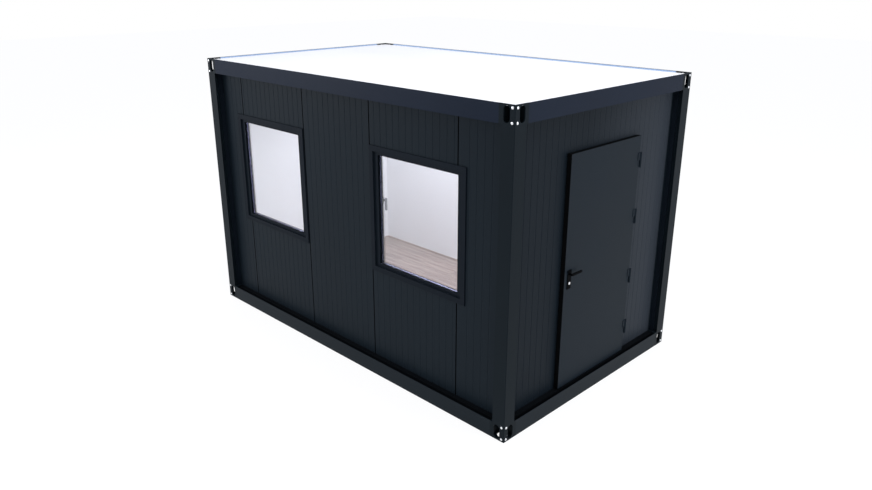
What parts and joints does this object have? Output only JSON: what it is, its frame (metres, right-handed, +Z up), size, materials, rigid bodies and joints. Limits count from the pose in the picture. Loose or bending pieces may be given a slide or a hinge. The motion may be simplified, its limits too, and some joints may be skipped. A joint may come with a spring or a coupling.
{
  "type": "container cabin",
  "caption": "Flat-pack steel-framed container cabin with slotted corner fittings, dark sandwich-panel walls, framed windows on one long side and a hinged door in one end.",
  "frame": {"origin": "centre of the footprint, on the ground plane under the floor rails", "axes": "+X along the length towards the door end, +Y from the window wall towards the back wall, +Z up"},
  "size_m": [4, 2.4, 2.6],
  "materials": {
    "frame_steel": "satin anthracite paint",
    "trim_steel": "satin dark grey paint",
    "joist_steel": "galvanised",
    "wall_panel": "satin anthracite coil coating outside, white inside",
    "floor_laminate": "light laminate boards",
    "ceiling_white": "white coil coating",
    "roof_white": "white coil coating",
    "window_profile": "satin anthracite foil outside, white inside",
    "window_glass": "clear double glazing",
    "window_handle": "satin grey",
    "door_frame_steel": "satin anthracite paint",
    "door_skin": "satin anthracite coil coating",
    "hinge_steel": "satin anthracite paint",
    "handle_black": "satin black",
    "cylinder_steel": "satin nickel"
  },
  "bodies": {
    "cabin": {"back_wall_make_up_panels": "wall_panel", "back_wall_module_panels": "wall_panel", "bottom_fitting_back_door": "frame_steel", "bottom_fitting_back_far": "frame_steel", "bottom_fitting_front_door": "frame_steel", "bottom_fitting_front_far": "frame_steel", "ceiling_panel": "ceiling_white", "corner_post_back_door": "frame_steel", "corner_post_back_far": "frame_steel", "corner_post_front_door": "frame_steel", "corner_post_front_far": "frame_steel", "door_end_wall_left": "wall_panel", "door_end_wall_over": "wall_panel", "door_end_wall_right": "wall_panel", "door_frame": "door_frame_steel", "far_end_wall_back": "wall_panel", "far_end_wall_front": "wall_panel", "floor_joists": "joist_steel", "floor_panel": "floor_laminate", "floor_rail_back": "frame_steel", "floor_rail_door_end": "frame_steel", "floor_rail_far_end": "frame_steel", "floor_rail_front": "frame_steel", "front_wall_make_up_panels": "wall_panel", "front_wall_window_panels": "wall_panel", "hinge_frame_halves": "hinge_steel", "post_trims": "trim_steel", "rail_trims": "trim_steel", "roof_beams": "joist_steel", "roof_rail_back": "frame_steel", "roof_rail_door_end": "frame_steel", "roof_rail_far_end": "frame_steel", "roof_rail_front": "frame_steel", "roof_sheet": "roof_white", "top_fitting_back_door": "frame_steel", "top_fitting_back_far": "frame_steel", "top_fitting_front_door": "frame_steel", "top_fitting_front_far": "frame_steel", "window_frames": "window_profile", "window_glass": "window_glass", "window_handles": "window_handle", "window_sashes": "window_profile", "window_trims": "window_profile"},
    "door": {"door_leaf": "door_skin", "hinge_leaf_halves": "hinge_steel", "handle_plates": "handle_black", "lock_cylinder": "cylinder_steel"},
    "lever": {"lever_set": "handle_black"}
  },
  "joints": [
    {"name": "door_hinge", "type": "hinge", "parent": "cabin", "child": "door", "pos_m": [1.962, 0.535, 1.158], "axis": [0, 0, 1], "range_deg": [0, 150]},
    {"name": "lever_spindle", "type": "hinge", "parent": "door", "child": "lever", "pos_m": [1.9275, -0.404, 1.165], "axis": [-1, 0, 0], "range_deg": [0, 40], "stiffness_Nm_per_rad": 2, "springref_deg": -22.92}
  ]
}
